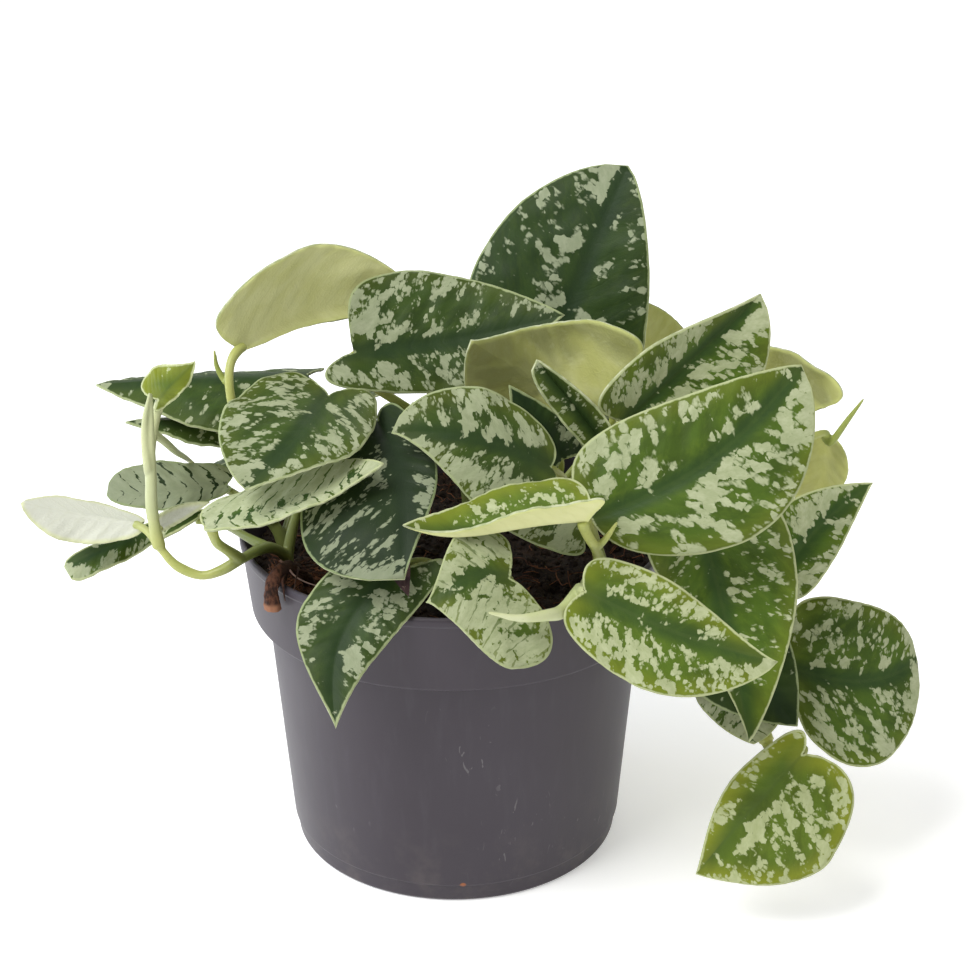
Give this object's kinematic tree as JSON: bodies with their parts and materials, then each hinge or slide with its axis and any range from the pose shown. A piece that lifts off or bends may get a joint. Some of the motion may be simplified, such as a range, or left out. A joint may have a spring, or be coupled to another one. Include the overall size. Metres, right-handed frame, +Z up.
{
  "type": "potted satin pothos",
  "caption": "Satin pothos with heart-shaped silver-splashed leaves on short trailing vines, in a round tapered plastic nursery pot with a stepped collar, filled with soil.",
  "frame": {"origin": "on the pot's axis, at the plane the pot stands on", "axes": "+Z up, -Y towards the viewer of the picture, +X to the viewer's right"},
  "size_m": [0.2479, 0.1805, 0.1867],
  "materials": {
    "pot_plastic": "satin, dark taupe-grey",
    "peat_soil": "damp, crumbly, with reddish fibres",
    "root_bark": "rough bark",
    "stem_green": "smooth, slightly waxy",
    "new_leaf_pale": "smooth, slightly waxy",
    "leaf_green": "satin with silver splashes",
    "leaf_dark_green": "satin with silver splashes",
    "leaf_light_green": "satin with silver splashes",
    "leaf_silver": "satin, nearly all silver",
    "leaf_underside": "matt pale underside, green splashed face",
    "leaf_white_green": "matt pale underside",
    "leaf_dry": "dry and crinkled"
  },
  "bodies": {
    "root": {"pot": "pot_plastic", "soil": "peat_soil", "root_over_rim": "root_bark", "vine_left": "stem_green", "vine_back_left": "stem_green", "vine_back": "stem_green", "vine_middle": "stem_green", "vine_centre": "stem_green", "vine_front": "stem_green", "vine_right": "stem_green", "vine_front_left": "stem_green", "vine_front_right": "new_leaf_pale", "vine_rear": "stem_green", "vine_rear_left": "stem_green", "vine_rear_right": "stem_green", "leaf_left_high": "leaf_underside", "leaf_back_heart": "leaf_dark_green", "leaf_top": "leaf_dark_green", "leaf_back_small": "leaf_underside", "leaf_centre_under": "leaf_underside", "leaf_centre_folded": "leaf_dark_green", "leaf_centre_shaded": "leaf_dark_green", "leaf_right_high": "leaf_green", "leaf_right_under": "leaf_underside", "leaf_right_large": "leaf_green", "leaf_front_folded": "leaf_light_green", "leaf_centre": "leaf_green", "leaf_left_heart": "leaf_green", "leaf_left_front": "leaf_silver", "leaf_centre_hanging": "leaf_dark_green", "leaf_front_left": "leaf_dark_green", "leaf_front_centre": "leaf_silver", "leaf_front_right": "leaf_green", "leaf_right_hanging": "leaf_green", "leaf_right_side": "leaf_dark_green", "leaf_right_small": "leaf_underside", "leaf_right_round": "leaf_dark_green", "leaf_right_inner": "leaf_dark_green", "leaf_right_shaded": "leaf_dark_green", "leaf_right_lowest": "leaf_light_green", "leaf_far_left_rolled": "leaf_white_green", "leaf_far_left_low": "leaf_dark_green", "leaf_left_pale": "leaf_white_green", "leaf_left_silver": "leaf_silver", "leaf_left_long": "leaf_dark_green", "leaf_left_under": "leaf_dark_green", "leaf_left_new": "leaf_light_green", "leaf_scrap_dry": "leaf_dry", "leaf_rear_left": "leaf_green", "leaf_rear_centre": "leaf_green", "leaf_rear_right": "leaf_green", "leaf_rear_top": "leaf_green", "leaf_rear_hanging": "leaf_dark_green", "leaf_rear_hanging_left": "leaf_dark_green", "leaf_rear_side_right": "leaf_green", "leaf_rear_side_left": "leaf_green"}
  },
  "joints": []
}
